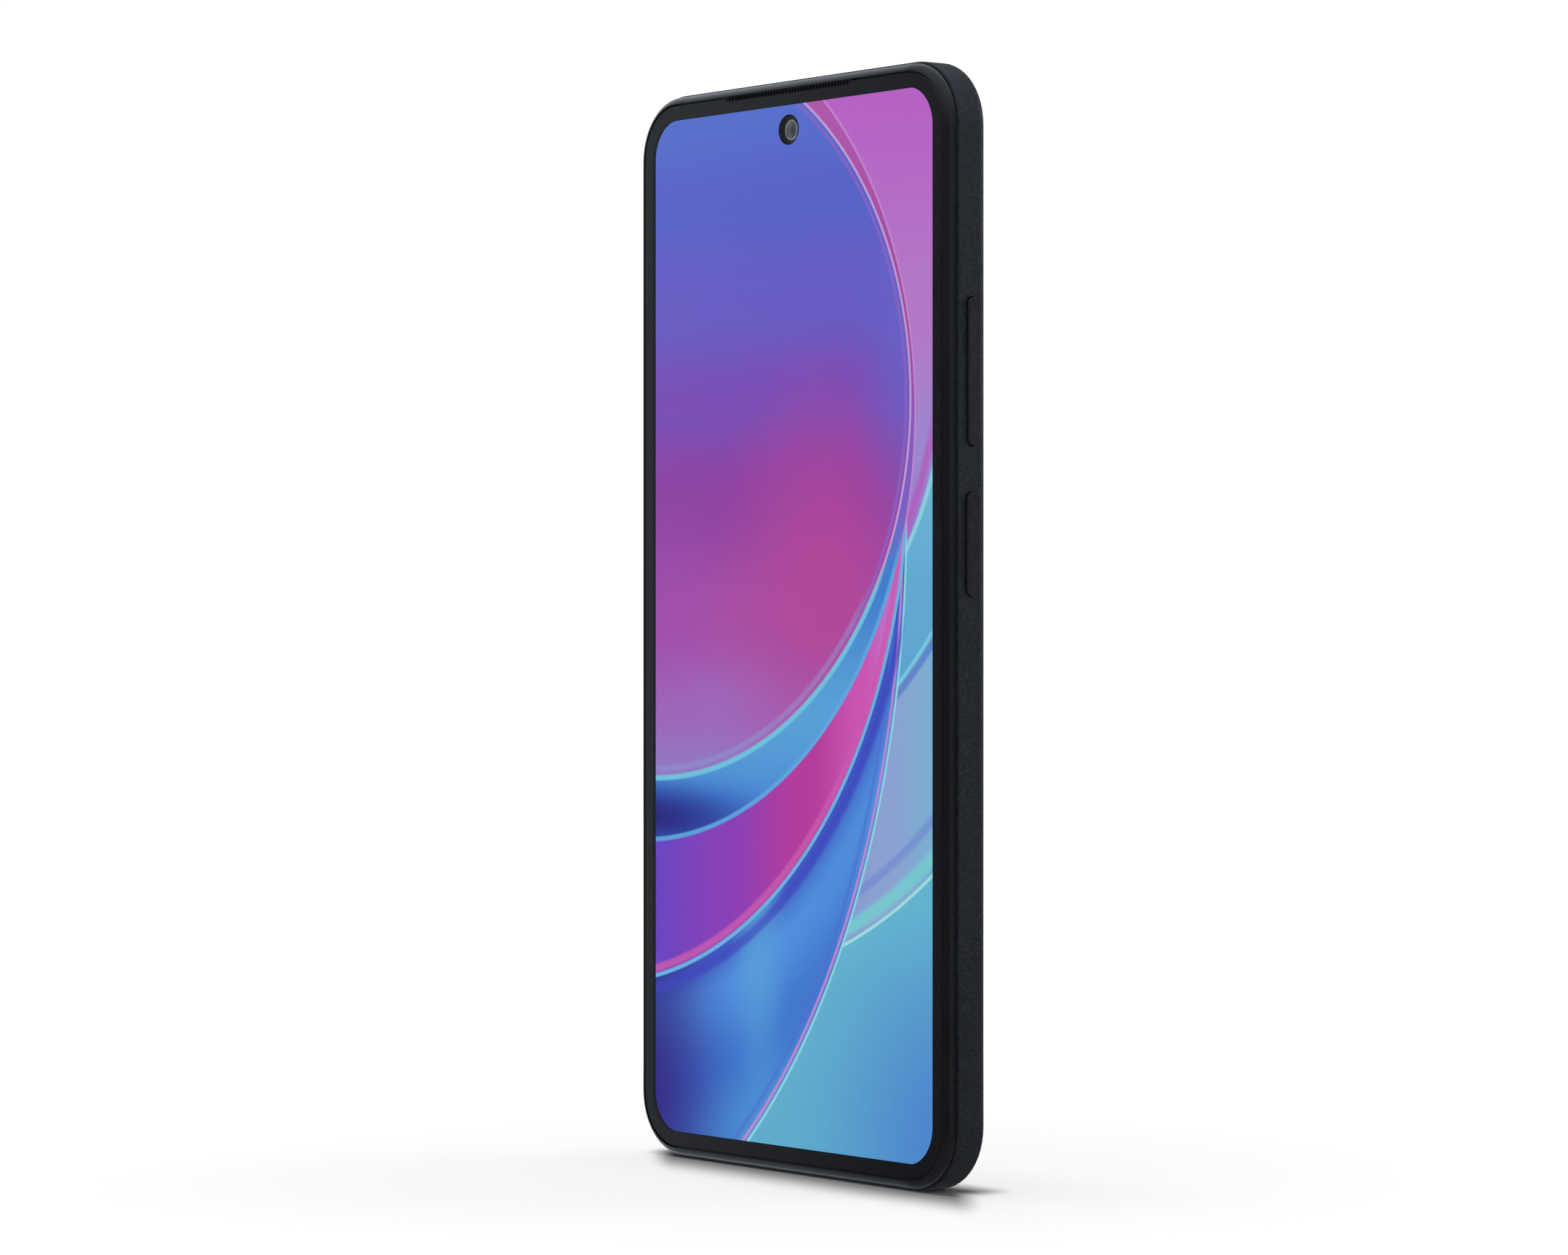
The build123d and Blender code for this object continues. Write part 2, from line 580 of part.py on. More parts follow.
def eject_lever():
    """A flat lever that the rod swings, so that its other end pushes the tray out."""
    x = -WIDTH / 2 + LEVER_INSET
    length = EJECT_Z + 0.6 - LEVER_TIP_Z
    middle = (EJECT_Z + 0.6 + LEVER_TIP_Z) / 2
    bar = prism(Pos(x, middle) * SlotOverall(length, 1.0, rotation=90), 3.6, 4.2)
    bar += disc(x, LEVER_PIVOT_Z, 0.95, 3.6, 4.2)
    return bar - disc(x, LEVER_PIVOT_Z, 0.45, 3, 5)


def eject_pivot():
    """The lever's pin, riveted to the board, with a head under the lever."""
    x = -WIDTH / 2 + LEVER_INSET
    return disc(x, LEVER_PIVOT_Z, 0.4, 3.5, BOARD_FRONT) + disc(x, LEVER_PIVOT_Z, 0.8, 3.2, 3.5)


# ---- main board ----
def main_board():
    """The main board, notched at the right for both camera bodies."""
    board = block(-34.5, 33.8, 116.0, 158.2, BOARD_FRONT, BOARD_BACK, 6.0)
    for camera in (MAIN_CAMERA, SECOND_CAMERA):
        half = camera["body"] / 2 + 0.3
        x, z = camera["x"], camera["z"]
        board -= block(x - half, 36, z - half, z + half, 4, 7)
    return board - holes(BOARD_SCREWS, SCREW_RADIUS + 0.1, 4, 7)


def shield_cans():
    """The three cans over the processor, the radio chips and the power chips."""
    cans = shell_box(-2.0, 18.5, 118.0, 147.0, 2.9, BOARD_FRONT, 0.15)
    cans += shell_box(-31.0, -6.0, 134.5, 150.5, 2.9, BOARD_FRONT, 0.15)
    return cans + shell_box(-30.0, -8.0, 137.0, 155.0, BOARD_BACK, 6.6, 0.15, open_front=True)


def processor():
    """The processor with its memory stacked on it."""
    return block(1.0, 15.0, 131.0, 145.0, 3.6, BOARD_FRONT)


def storage_chip():
    """The storage chip."""
    return block(2.0, 13.5, 119.5, 129.5, 3.9, BOARD_FRONT)


def radio_chips():
    """The radio transceiver and its two amplifiers."""
    group = block(-29.0, -21.0, 137.0, 145.0, 4.0, BOARD_FRONT)
    group += block(-19.0, -13.0, 137.0, 141.0, 4.1, BOARD_FRONT)
    return group + block(-19.0, -13.0, 143.5, 147.5, 4.1, BOARD_FRONT)


def power_chips():
    """The charging and power chips under the rear can."""
    charger = block(-27.0, -20.0, 140.0, 147.0, BOARD_BACK, 6.3)
    return charger + block(-17.0, -12.0, 141.0, 146.0, BOARD_BACK, 6.3)


def flash_led():
    """The two lamps on the back of the board, behind their lens."""
    x, z = FLASH[:2]
    lamps = block(x - 1.3, x - 0.1, z - 0.6, z + 0.6, BOARD_BACK, 6.2)
    return lamps + block(x + 0.1, x + 1.3, z - 0.6, z + 0.6, BOARD_BACK, 6.2)


def flash_lens():
    """The clear lens of the flash, flush with the rear cover."""
    x, z, radius = FLASH
    flange = disc(x, z, radius + 0.4, COVER_INNER - 0.3, COVER_INNER)
    return flange + disc(x, z, radius - 0.03, COVER_INNER, THICKNESS)


def antenna_carrier():
    """The plastic strip along the top edge that carries the upper antennas."""
    return block(-29.0, 18.0, 155.4, 157.9, BOARD_BACK, 6.5, 0.6)


def earpiece():
    """The earpiece speaker under its duct."""
    return block(DUCT_X[0], DUCT_X[1], 150.6, 157.6, PLATE_BACK, 4.8, 0.8)


def proximity_sensor():
    """The light and proximity sensor under the screen's top edge."""
    return block(-12.5, -9.0, 153.0, 156.5, PLATE_BACK, 3.6)


def microphones():
    """Two capsules, one behind each sound hole."""
    lower = block(MIC_X - 1.75, MIC_X + 1.75, 2.1, 4.9, 3.2, 4.7)
    return lower + block(-15.75, -12.25, 157.0, 159.75, 3.2, 4.7)


# ---- battery and cabling ----
def battery():
    """The pouch cell, with soft corners."""
    cell = block(*BATTERY, BATTERY_FRONT, BATTERY_BACK)
    return fillet(cell.edges().filter_by(Axis.Z), 1.2)


def battery_adhesive():
    """Two strips of stretch-release tape under the cell."""
    strip = block(-28, -10, 36, 108, PLATE_BACK, BATTERY_FRONT)
    return strip + block(8, 26, 36, 108, PLATE_BACK, BATTERY_FRONT)


def battery_flex():
    """The cell's short tail, which lies on the board and ends in a plug."""
    tail = block(-22, -12, BATTERY[3], 119.5, BOARD_BACK, BOARD_BACK + 0.15)
    return tail + block(-21, -13, 117.0, 119.5, BOARD_BACK + 0.15, 6.4)


def main_flex():
    """The long ribbon over the cell between both boards, with a plug at each end."""
    ribbon = block(-4.5, 4.5, 19.5, 121.0, 6.6, 6.75)
    return ribbon + block(-4, 4, 118.0, 120.5, BOARD_BACK, 6.6) + block(-4, 4, 20.0, 22.5, SUB_BACK, 6.6)


def display_flex():
    """The screen's ribbon, folded through the plate to a plug on the sub-board."""
    tail = block(*FLEX_X, 5.0, 9.4, PANEL_BACK, PANEL_BACK + 0.12)
    tail += block(*FLEX_X, 9.28, 9.4, PANEL_BACK, 2.8)
    return tail + block(*FLEX_X, 9.28, 17.0, 2.68, 2.8) + block(-9, 3, 13.5, 16.5, 2.8, SUB_FRONT)


def antenna_cable():
    """The thin coaxial lead down the left side, with a round plug at each end."""
    route = FilletPolyline((-21.0, 24.0), (-34.9, 30.0), (-34.9, 113.5), (-31.5, 119.0), radius=4)
    path = facing(6.0) * route
    start = Plane(origin=path @ 0, z_dir=path % 0)
    return sweep(start * Circle(0.28), path=path)


def antenna_plugs():
    """The lead's two round plugs."""
    lower = disc(-20.0, 24.0, 1.0, SUB_BACK, 6.3)
    return lower + disc(-31.5, 120.0, 1.0, BOARD_BACK, 6.3)


# ---- lower end ----
def sub_board():
    """The small board at the bottom, stepped round the headphone socket."""
    board = block(-17.5, 10.3, 8.2, 29.0, SUB_FRONT, SUB_BACK)
    board += block(-23.0, -17.0, 16.5, 29.0, SUB_FRONT, SUB_BACK)
    return board - holes(SUB_SCREWS + COVER_SCREWS, SCREW_RADIUS + 0.1, 3, 6)


def lower_cover():
    """The plastic cover over the sub-board's plugs, on four legs."""
    plate = block(-17.0, 10.2, 18.0, 29.5, 5.7, 6.5, 1.0)
    for x, z in COVER_SCREWS:
        plate += disc(x, z, 1.7, SUB_BACK, 5.7)
    plate -= block(-4.6, 4.6, 19.0, 23.5, 5, 7)
    return plate - holes(COVER_SCREWS, SCREW_RADIUS + 0.1, 4, 7) - holes(COVER_SCREWS, 1.5, 6.0, 7)


def usb_shell():
    """The metal mouth of the charging socket, closed at its inner end."""
    inner = (USB_OUTER[0] - 2 * USB_WALL, USB_OUTER[1] - 2 * USB_WALL)
    shell = upward(USB_START, USB_END, Pos(0, PORT_DEPTH) * SlotOverall(*USB_OUTER))
    shell -= upward(USB_START, USB_END - 0.6, Pos(0, PORT_DEPTH) * SlotOverall(*inner))
    return shell


def usb_tongue():
    """The contact tongue in the middle of the mouth, on its moulded base."""
    inner = (USB_OUTER[0] - 2 * USB_WALL, USB_OUTER[1] - 2 * USB_WALL)
    base = upward(USB_END - 1.2, USB_END - 0.6, Pos(0, PORT_DEPTH) * SlotOverall(*inner))
    return base + upward(1.6, USB_END - 1.2, Pos(0, PORT_DEPTH) * RectangleRounded(*TONGUE, 0.3))


def usb_contacts():
    """Twelve gold strips on each face of the tongue."""
    group = Part()
    for side in (-1, 1):
        depth = PORT_DEPTH + side * (TONGUE[1] / 2 + 0.03)
        for place in GridLocations(0.5, 1, 12, 1):
            group += upward(2.0, 5.6, place * Pos(0, depth) * Rectangle(0.25, 0.06))
    return group


def headphone_jack():
    """The socket's body and its 3.5 mm bore."""
    body = block(JACK_X - 3.0, JACK_X + 3.0, JACK_START, JACK_END, 1.9, 5.95, 0.4)
    return body - upward(0, JACK_END - 0.6, Pos(JACK_X, JACK_DEPTH) * Circle(JACK_RADIUS))


def loudspeaker_box():
    """The plastic sound box, open towards the holes in the bottom edge."""
    body = block(11.0, 33.5, 4.2, 24.5, PLATE_BACK, 6.6, 3.0)
    body += block(12.0, 25.0, 2.35, 5.0, 2.8, 4.95)
    body += block(11.0, 33.5, 22.0, 28.4, BOARD_FRONT, 5.6, 1.0)
    body -= block(12.0, 32.5, 8.5, 23.5, PLATE_BACK + 0.6, 5.9)
    body -= block(12.6, 24.4, 2.0, 9.0, 3.1, 4.65)
    return body - holes(SPEAKER_SCREWS, SCREW_RADIUS + 0.1, 4, 7)


def loudspeaker():
    """The driver in the sound box."""
    return block(13.0, 31.0, 9.5, 22.5, 3.1, 5.4, 1.5)


def speaker_mesh():
    """The dust mesh behind the holes."""
    return block(12.4, 24.6, WALL + 0.05, WALL + 0.3, 2.9, 5.0)


def vibration_motor():
    """The coin motor."""
    return disc(-28.4, 23.0, 4.0, PLATE_BACK, 5.4)


def all_screws():
    """The fasteners of the boards, the lower cover and the sound box."""
    group = screws(BOARD_SCREWS, BOARD_BACK, PLATE_BACK + 0.3)
    group += screws(SUB_SCREWS, SUB_BACK, PLATE_BACK + 0.3)
    group += screws(COVER_SCREWS, 6.0, PLATE_BACK + 0.3)
    return group + screws(SPEAKER_SCREWS, 5.6, PLATE_BACK + 0.3)


# ---- sheets on the rear cover ----
def graphite_sheet():
    """The heat spreader."""
    return block(-30, 30, 34, 112, COVER_INNER - 0.06, COVER_INNER, 2)


def contactless_antenna():
    """The flat coil for contactless payment, on its ferrite sheet."""
    coil = block(-26, 14, 122, 152, COVER_INNER - 0.12, COVER_INNER, 4)
    return coil - block(-20, 8, 128, 146, 6, 7.5, 2)


NODES = {
    "cover_glass": cover_glass(),
    "glass_adhesive": glass_adhesive(),
    "optical_adhesive": screen_sheet(PANEL_MARGIN, GLASS_BACK + 0.01, OPTICAL_BACK),
    "display_panel": screen_sheet(PANEL_MARGIN, PANEL_FRONT, PANEL_BACK),
    "display_foam": block(-34, 34, 18, 151, PANEL_BACK, PLATE_FRONT, 3),
    "display_flex": display_flex(),
    "front_rim": front_rim(),
    "earpiece_grille": earpiece_grille(),
    "earpiece": earpiece(),
    "proximity_sensor": proximity_sensor(),
    "front_camera": front_camera(),
    "front_camera_ring": front_camera_ring(),
    "mid_frame": mid_frame(),
    "mid_plate": mid_plate(),
    "rear_cover": rear_cover(),
    "cover_adhesive": cover_adhesive(),
    "graphite_sheet": graphite_sheet(),
    "contactless_antenna": contactless_antenna(),
    "main_camera": camera_module(MAIN_CAMERA, 2.6),
    "main_camera_ring": camera_ring(MAIN_CAMERA),
    "main_camera_window": camera_window(MAIN_CAMERA),
    "second_camera": camera_module(SECOND_CAMERA, 3.0),
    "second_camera_ring": camera_ring(SECOND_CAMERA),
    "second_camera_window": camera_window(SECOND_CAMERA),
    "flash_led": flash_led(),
    "flash_lens": flash_lens(),
    "volume_key": volume_key(),
    "volume_key_pin": volume_key_pin(),
    "power_key": power_key(),
    "fingerprint_sensor": fingerprint_sensor(),
    "key_domes": key_domes(),
    "side_key_flex": side_key_flex(),
    "key_bracket": key_bracket(),
    "sim_tray": sim_tray(),
    "sim_tray_seal": sim_tray_seal(),
    "sim_cards": sim_cards(),
    "sim_reader": sim_reader(),
    "eject_rod": eject_rod(),
    "eject_lever": eject_lever(),
    "eject_pivot": eject_pivot(),
    "main_board": main_board(),
    "shield_cans": shield_cans(),
    "board_chips": processor() + storage_chip() + radio_chips() + power_chips(),
    "antenna_carrier": antenna_carrier(),
    "microphones": microphones(),
    "battery": battery(),
    "battery_adhesive": battery_adhesive(),
    "battery_flex": battery_flex(),
    "main_flex": main_flex(),
    "antenna_cable": antenna_cable() + antenna_plugs(),
    "sub_board": sub_board(),
    "lower_cover": lower_cover(),
    "usb_socket": usb_shell(),
    "usb_tongue": usb_tongue() + usb_contacts(),
    "headphone_jack": headphone_jack(),
    "loudspeaker_box": loudspeaker_box(),
    "loudspeaker": loudspeaker(),
    "speaker_mesh": speaker_mesh(),
    "vibration_motor": vibration_motor(),
    "screws": all_screws(),
}

os.makedirs("parts", exist_ok=True)
for name, shape in NODES.items():
    export_step(shape, f"parts/{name}.step")
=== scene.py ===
"""A smartphone standing upright on a pale floor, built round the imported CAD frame.

Lengths are in metres in the CAD's frame: X across the screen, Z up, the screen faces -Y.
"""

import math

import bmesh
import bpy
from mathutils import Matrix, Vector


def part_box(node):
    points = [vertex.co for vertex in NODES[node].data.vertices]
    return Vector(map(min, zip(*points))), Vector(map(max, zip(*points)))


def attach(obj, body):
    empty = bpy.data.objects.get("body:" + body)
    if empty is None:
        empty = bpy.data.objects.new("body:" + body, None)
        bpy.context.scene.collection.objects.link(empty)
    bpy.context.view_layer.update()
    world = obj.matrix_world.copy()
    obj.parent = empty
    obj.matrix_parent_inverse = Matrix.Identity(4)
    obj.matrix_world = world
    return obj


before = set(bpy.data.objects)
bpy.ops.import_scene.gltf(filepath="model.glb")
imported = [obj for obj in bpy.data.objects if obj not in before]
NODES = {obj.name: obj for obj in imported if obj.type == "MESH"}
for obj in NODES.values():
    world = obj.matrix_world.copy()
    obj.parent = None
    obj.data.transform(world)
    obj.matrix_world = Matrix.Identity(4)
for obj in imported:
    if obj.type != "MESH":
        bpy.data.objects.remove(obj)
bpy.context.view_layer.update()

MM = 0.001

# The lit screen: its middle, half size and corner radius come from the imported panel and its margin.
PANEL_LOW, PANEL_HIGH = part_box("display_panel")
PANEL_MARGIN = 0.8 * MM
SCREEN_X = (PANEL_LOW[0] + PANEL_HIGH[0]) / 2
SCREEN_Z = (PANEL_LOW[2] + PANEL_HIGH[2]) / 2
SCREEN_HALF = (
    (PANEL_HIGH[0] - PANEL_LOW[0]) / 2 - PANEL_MARGIN,
    (PANEL_HIGH[2] - PANEL_LOW[2]) / 2 - PANEL_MARGIN,
)
SCREEN_CORNER = 5.8 * MM

# The front camera's trim ring, and the unlit oval round it.
LENS_LOW, LENS_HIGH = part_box("front_camera_ring")
FRONT_LENS = tuple((low + high) / 2 for low, high in zip(LENS_LOW, LENS_HIGH))
DARK_OVAL = (2.5 * MM, 2.26 * MM)

# The front camera's lens. Its edge lies just inside the ring, and its depths start at the ring's face.
FRONT_LENS_EDGE = 1.26 * MM
FRONT_LENS_RISE = 0.1 * MM
FRONT_LENS_SUNK = 0.12 * MM
FRONT_LENS_BACK = 0.5 * MM

# The rear lenses. A barrel's steps are (how far inside the window's edge, depth from the camera's back face).
BARREL_STEPS = ((2.35 * MM, -0.5 * MM), (2.9 * MM, -0.3 * MM), (3.0 * MM, -0.42 * MM))
REAR_LENS_INSET = 3.0 * MM
REAR_LENS_RISE = 0.25 * MM
REAR_LENS_DEPTH = -0.48 * MM

# The floor glows clear of the phone, and its glow is dimmed round the phone's foot, which paints a shadow
# there. In front of the phone the painted shadow shifts along X, about as the camera looks at it. Beside and
# behind it ends sooner.
FLOOR_HALF = 6.0
FLOOR_GLOW = 0.66
# The glow also grows away from the phone's middle, so the floor is painted dimmer all round the phone.
GLOW_GROWS = (0.03, 0.3)
PAINTED_SHADOW_HALF = (34.0 * MM, 3.0 * MM)
PAINTED_SHADOW_REACH = 15.0 * MM
PAINTED_SHADOW_SHIFT = 1.35
SOONER_BESIDE = 1.9
SOONER_BEHIND = 2.0

# How bright the backdrop and the soft light round the phone are.
WHITE_BACKDROP = 1.05
SOFT_LIGHT = 0.09

# How bright the surroundings look in reflections.
DIM_ROOM = 0.1
PALE_LEFT = 0.46
RIGHT_CARD = 0.14
ABOVE = 0.42
BELOW = 0.09
UPPER_WALL = 0.1

# The lamps aim at the middle of the phone.
LAMP_AIM = (0.0, 0.0, 0.08)


# ---------------------------------------------------------------- shader building
class Graph:
    """The node tree of a new material or world, with short calls for the nodes that this scene uses."""

    def __init__(self, name, world=False):
        self.owner = bpy.data.worlds.new(name) if world else bpy.data.materials.new(name)
        self.owner.use_nodes = True
        self.tree = self.owner.node_tree
        self.tree.nodes.clear()
        self.output = self.node("ShaderNodeOutputWorld" if world else "ShaderNodeOutputMaterial")
        self._place = None

    def node(self, kind, **settings):
        made = self.tree.nodes.new(kind)
        for key, value in settings.items():
            setattr(made, key, value)
        return made

    def put(self, socket, value):
        """A socket takes a link, a number or a colour."""
        if isinstance(value, bpy.types.NodeSocket):
            self.tree.links.new(value, socket)
        elif isinstance(value, (tuple, list)) and len(value) == 3 and socket.type == "RGBA":
            socket.default_value = (*value, 1.0)
        else:
            socket.default_value = value

    def fill(self, made, *values):
        """Puts values on a node's first inputs and gives its first output."""
        for socket, value in zip(made.inputs, values):
            self.put(socket, value)
        return made.outputs[0]

    def place(self):
        """Object coordinates, which are the row frame's metres."""
        if self._place is None:
            self._place = self.node("ShaderNodeTexCoord").outputs["Object"]
        return self._place

    def stretched(self, scale):
        """Object coordinates scaled along each axis."""
        made = self.node("ShaderNodeMapping")
        self.put(made.inputs["Vector"], self.place())
        made.inputs["Scale"].default_value = scale
        return made.outputs[0]

    def split(self, vector):
        made = self.node("ShaderNodeSeparateXYZ")
        self.put(made.inputs[0], vector)
        return made.outputs

    def join(self, x, y, z):
        return self.fill(self.node("ShaderNodeCombineXYZ"), x, y, z)

    def math(self, operation, a, b=0.0):
        return self.fill(self.node("ShaderNodeMath", operation=operation), a, b)

    def length(self, x, y):
        return self.math("SQRT", self.math("ADD", self.math("MULTIPLY", x, x), self.math("MULTIPLY", y, y)))

    def radius(self, across, up):
        """Distance from an axis along Y that passes through a place in X and Z."""
        x, _, z = self.split(self.place())
        return self.length(self.math("SUBTRACT", x, across), self.math("SUBTRACT", z, up))

    def fade(self, value, low, high, to_low=0.0, to_high=1.0, smooth=True):
        """Goes from to_low to to_high as value goes from low to high."""
        kind = "SMOOTHSTEP" if smooth else "LINEAR"
        made = self.node("ShaderNodeMapRange", interpolation_type=kind)
        return self.fill(made, value, low, high, to_low, to_high)

    def mix(self, factor, a, b, blend="MIX"):
        """Mixes two colours. The node's colour sockets come after those of its other data types."""
        made = self.node("ShaderNodeMix", data_type="RGBA", blend_type=blend)
        self.put(made.inputs[0], factor)
        self.put(made.inputs[6], a)
        self.put(made.inputs[7], b)
        return made.outputs[2]

    def ramp(self, value, low, high, stops):
        """A run of colours from (share of the way, colour) pairs as value goes from low to high."""
        made = self.node("ShaderNodeValToRGB")
        made.color_ramp.interpolation = "EASE"
        marks = made.color_ramp.elements
        marks.remove(marks[1])
        for share, text in stops:
            mark = marks.new(share) if share > 0.0 else marks[0]
            mark.color = (*srgb(text), 1.0)
        self.put(made.inputs[0], self.fade(value, low, high, smooth=False))
        return made.outputs[0]

    def noise(self, scale, detail=2.0, roughness=0.5, vector=None):
        made = self.node("ShaderNodeTexNoise")
        self.put(made.inputs["Vector"], vector or self.place())
        self.put(made.inputs["Scale"], scale)
        self.put(made.inputs["Detail"], detail)
        self.put(made.inputs["Roughness"], roughness)
        return made.outputs["Fac"]

    def cells(self, scale, feature="F1"):
        made = self.node("ShaderNodeTexVoronoi", feature=feature)
        self.put(made.inputs["Vector"], self.place())
        self.put(made.inputs["Scale"], scale)
        return made.outputs["Distance"]

    def bump(self, height, strength, distance):
        made = self.node("ShaderNodeBump")
        self.put(made.inputs["Height"], height)
        self.put(made.inputs["Strength"], strength)
        self.put(made.inputs["Distance"], distance)
        return made.outputs["Normal"]

    def choose(self, factor, no, yes):
        """Goes from one shader to another as the factor goes from 0 to 1."""
        return self.fill(self.node("ShaderNodeMixShader"), factor, no, yes)

    def principled(self, **inputs):
        """A Principled shader. Names use _ for a space."""
        made = self.node("ShaderNodeBsdfPrincipled")
        for key, value in inputs.items():
            self.put(made.inputs[key.replace("_", " ")], value)
        return made.outputs[0]

    def surface(self, **inputs):
        """A Principled shader on the output."""
        self.finish(self.principled(**inputs))

    def finish(self, shader):
        self.tree.links.new(shader, self.output.inputs["Surface"])


def srgb(text):
    """A linear colour from a screen colour written as six hex digits."""
    values = [int(text[i : i + 2], 16) / 255 for i in (0, 2, 4)]
    return tuple(v / 12.92 if v <= 0.04045 else ((v + 0.055) / 1.055) ** 2.4 for v in values)


def paint(material, *names):
    """Gives CAD nodes a material in their own slots."""
    for name in names:
        node = NODES[name]
        if not node.material_slots:
            node.data.materials.append(material)
        for place in node.material_slots:
            place.material = material


# ---------------------------------------------------------------- body materials
def speckled_plastic(name, base, fleck, roughness, grain):
    """Sprayed matt plastic: pale flecks of two sizes, an orange-peel bump and handling marks."""
    g = Graph(name)
    fine = g.fade(g.noise(3600.0, 2.0, 0.7), 0.46, 0.68, 0.0, 0.75)
    coarse = g.fade(g.cells(2200.0), 0.12, 0.26, 0.8, 0.0)
    flecks = g.math("MAXIMUM", fine, coarse)
    colour = g.mix(flecks, base, fleck)
    colour = g.mix(g.fade(g.noise(60.0, 3.0), 0.35, 0.7, 0.0, 0.12), colour, fleck)
    gloss = g.fade(g.noise(350.0, 4.0, 0.6), 0.3, 0.7, roughness - 0.05, roughness + 0.06)
    height = g.math("ADD", g.noise(4200.0, 2.0, 0.5), g.math("MULTIPLY", g.noise(1300.0), 0.7))
    normal = g.bump(height, grain, 0.02 * MM)
    g.surface(Base_Color=colour, Roughness=gloss, Normal=normal, Specular_IOR_Level=0.5)
    return g.owner


def gloss_black(name, base, roughness=0.16):
    """Polished black moulding with a faint waviness and hairline rub marks."""
    g = Graph(name)
    rub = g.noise(900.0, 4.0, 0.65, vector=g.stretched((1.0, 1.0, 0.12)))
    gloss = g.fade(rub, 0.45, 0.75, roughness, roughness + 0.09)
    colour = g.mix(g.fade(g.noise(120.0), 0.3, 0.8), base, tuple(1.5 * v for v in base))
    normal = g.bump(g.noise(260.0, 2.0), 0.05, 0.05 * MM)
    g.surface(Base_Color=colour, Roughness=gloss, Normal=normal, Coat_Weight=0.3, Coat_Roughness=0.12)
    return g.owner


def brushed_metal(name, base, roughness=0.3, grain=(1.0, 1.0, 0.05)):
    """Metal with a fine grain, drawn out along Z unless told otherwise, and faint staining."""
    g = Graph(name)
    lines = g.noise(4000.0, 3.0, 0.6, vector=g.stretched(grain))
    stain = g.noise(90.0, 3.0)
    colour = g.mix(g.fade(stain, 0.3, 0.75, 0.0, 0.35), base, tuple(0.7 * v for v in base))
    gloss = g.fade(lines, 0.3, 0.7, roughness - 0.08, roughness + 0.12)
    normal = g.bump(lines, 0.12, 0.02 * MM)
    g.surface(Base_Color=colour, Metallic=1.0, Roughness=gloss, Normal=normal)
    return g.owner


def turned_ring(name, centre, base):
    """Aluminium turned on a lathe, its fine grooves running round a centre in X and Z."""
    g = Graph(name)
    across_grooves = g.math("MULTIPLY", g.radius(*centre), 22000.0)
    grooves = g.noise(1.0, 3.0, 0.7, vector=g.join(across_grooves, 0.0, 0.0))
    gloss = g.fade(grooves, 0.3, 0.7, 0.16, 0.34)
    colour = g.mix(g.fade(g.noise(300.0), 0.3, 0.8), base, tuple(0.8 * v for v in base))
    g.surface(Base_Color=colour, Metallic=1.0, Roughness=gloss, Normal=g.bump(grooves, 0.1, 0.01 * MM))
    return g.owner


def moulding(name, base, roughness=0.5, scale=2500.0, shine=0.5):
    """Plain moulded or printed stuff inside the phone, with a fine grain and slight colour drift."""
    g = Graph(name)
    paler = tuple(min(1.0, 1.45 * v + 0.004) for v in base)
    colour = g.mix(g.fade(g.noise(180.0, 3.0), 0.3, 0.75), base, paler)
    gloss = g.fade(g.noise(scale * 0.3, 3.0), 0.3, 0.7, roughness - 0.08, roughness + 0.08)
    grain = g.bump(g.noise(scale), 0.25, 0.02 * MM)
    g.surface(Base_Color=colour, Roughness=gloss, Normal=grain, Specular_IOR_Level=shine)
    return g.owner


def circuit_board(name):
    """Solder-masked board with tracks showing through and rows of small pads."""
    g = Graph(name)
    cell = g.cells(900.0, feature="DISTANCE_TO_EDGE")
    tracks = g.fade(cell, 0.02, 0.06, 1.0, 0.0)
    pads = g.fade(g.cells(520.0), 0.16, 0.2, 1.0, 0.0)
    mask = g.mix(g.math("MULTIPLY", tracks, 0.5), srgb("0b2a24"), srgb("1d5145"))
    colour = g.mix(pads, mask, srgb("b9a15e"))
    metal = g.math("MULTIPLY", pads, 0.8)
    g.surface(Base_Color=colour, Metallic=metal, Roughness=0.38, Normal=g.bump(tracks, 0.3, 0.03 * MM))
    return g.owner


def ribbon_print(name):
    """Amber flexible print with fine copper lines along it."""
    g = Graph(name)
    x, _, _ = g.split(g.place())
    lines = g.fade(g.math("FRACT", g.math("MULTIPLY", x, 2400.0)), 0.42, 0.5)
    colour = g.mix(g.math("MULTIPLY", lines, 0.6), srgb("5b3a16"), srgb("9a6a34"))
    g.surface(Base_Color=colour, Roughness=g.fade(g.noise(900.0), 0.3, 0.7, 0.32, 0.46))
    return g.owner


# ---------------------------------------------------------------- glass and screen
def screen_distance(g):
    """How far a point lies outside the lit screen's rounded outline, negative inside."""
    x, _, z = g.split(g.place())

    def past_straight(place, middle, half):
        away = g.math("ABSOLUTE", g.math("SUBTRACT", place, middle))
        return g.math("SUBTRACT", away, half - SCREEN_CORNER)

    over_x = past_straight(x, SCREEN_X, SCREEN_HALF[0])
    over_z = past_straight(z, SCREEN_Z, SCREEN_HALF[1])
    corner = g.length(g.math("MAXIMUM", over_x, 0.0), g.math("MAXIMUM", over_z, 0.0))
    inside = g.math("MINIMUM", g.math("MAXIMUM", over_x, over_z), 0.0)
    return g.math("SUBTRACT", g.math("ADD", corner, inside), SCREEN_CORNER)


def camera_distance(g):
    """How far a point lies outside the unlit oval round the front camera, as a share of its size."""
    x, _, z = g.split(g.place())
    across = g.math("DIVIDE", g.math("SUBTRACT", x, FRONT_LENS[0]), DARK_OVAL[0])
    up = g.math("DIVIDE", g.math("SUBTRACT", z, FRONT_LENS[2]), DARK_OVAL[1])
    return g.math("SUBTRACT", g.length(across, up), 1.0)


